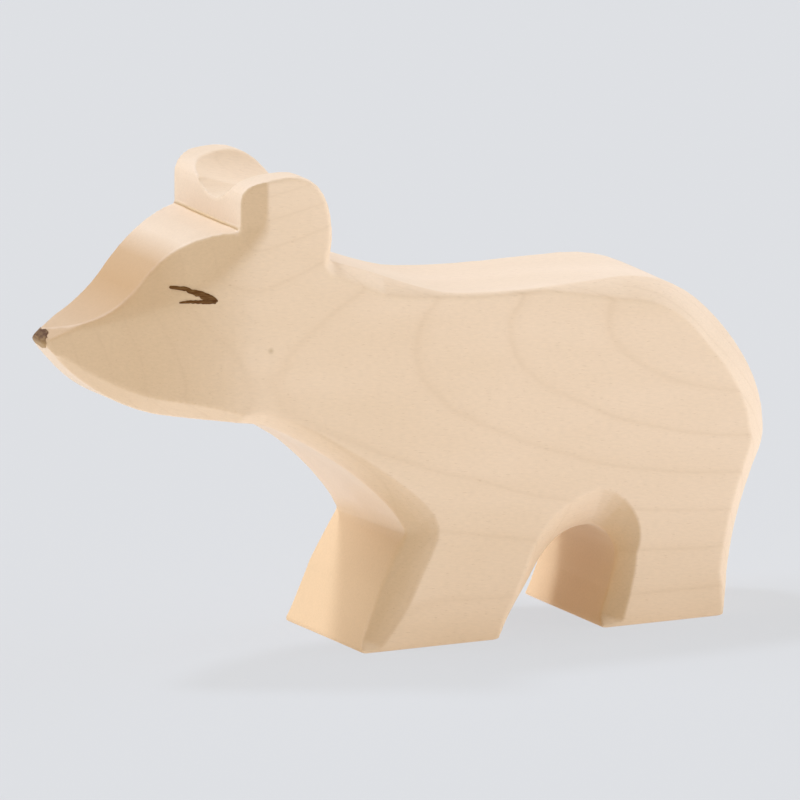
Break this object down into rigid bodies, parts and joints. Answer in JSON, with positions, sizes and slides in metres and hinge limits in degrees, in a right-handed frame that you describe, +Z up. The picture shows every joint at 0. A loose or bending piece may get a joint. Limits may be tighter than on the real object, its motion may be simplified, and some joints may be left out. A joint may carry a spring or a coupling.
{
  "type": "wooden polar bear figurine",
  "caption": "Walking polar bear figurine sawn from a pale maple board, with hand-eased edges, round ears, a tapered snout and painted nose and closed eyes; stands on its soles.",
  "frame": {"origin": "on the surface the bear stands on, under the middle of its length and thickness", "axes": "+Z up, -X the way the bear faces, -Y its left side, which the picture shows"},
  "size_m": [0.1128, 0.025, 0.0709],
  "materials": {
    "maple": "bare maple, sanded, matte",
    "nose_paint": "thin matte paint",
    "eye_paint": "thin matte paint"
  },
  "bodies": {
    "root": {"bear_body": "maple", "nose_mark": "nose_paint", "left_eye_mark": "eye_paint", "right_eye_mark": "eye_paint"}
  },
  "joints": []
}
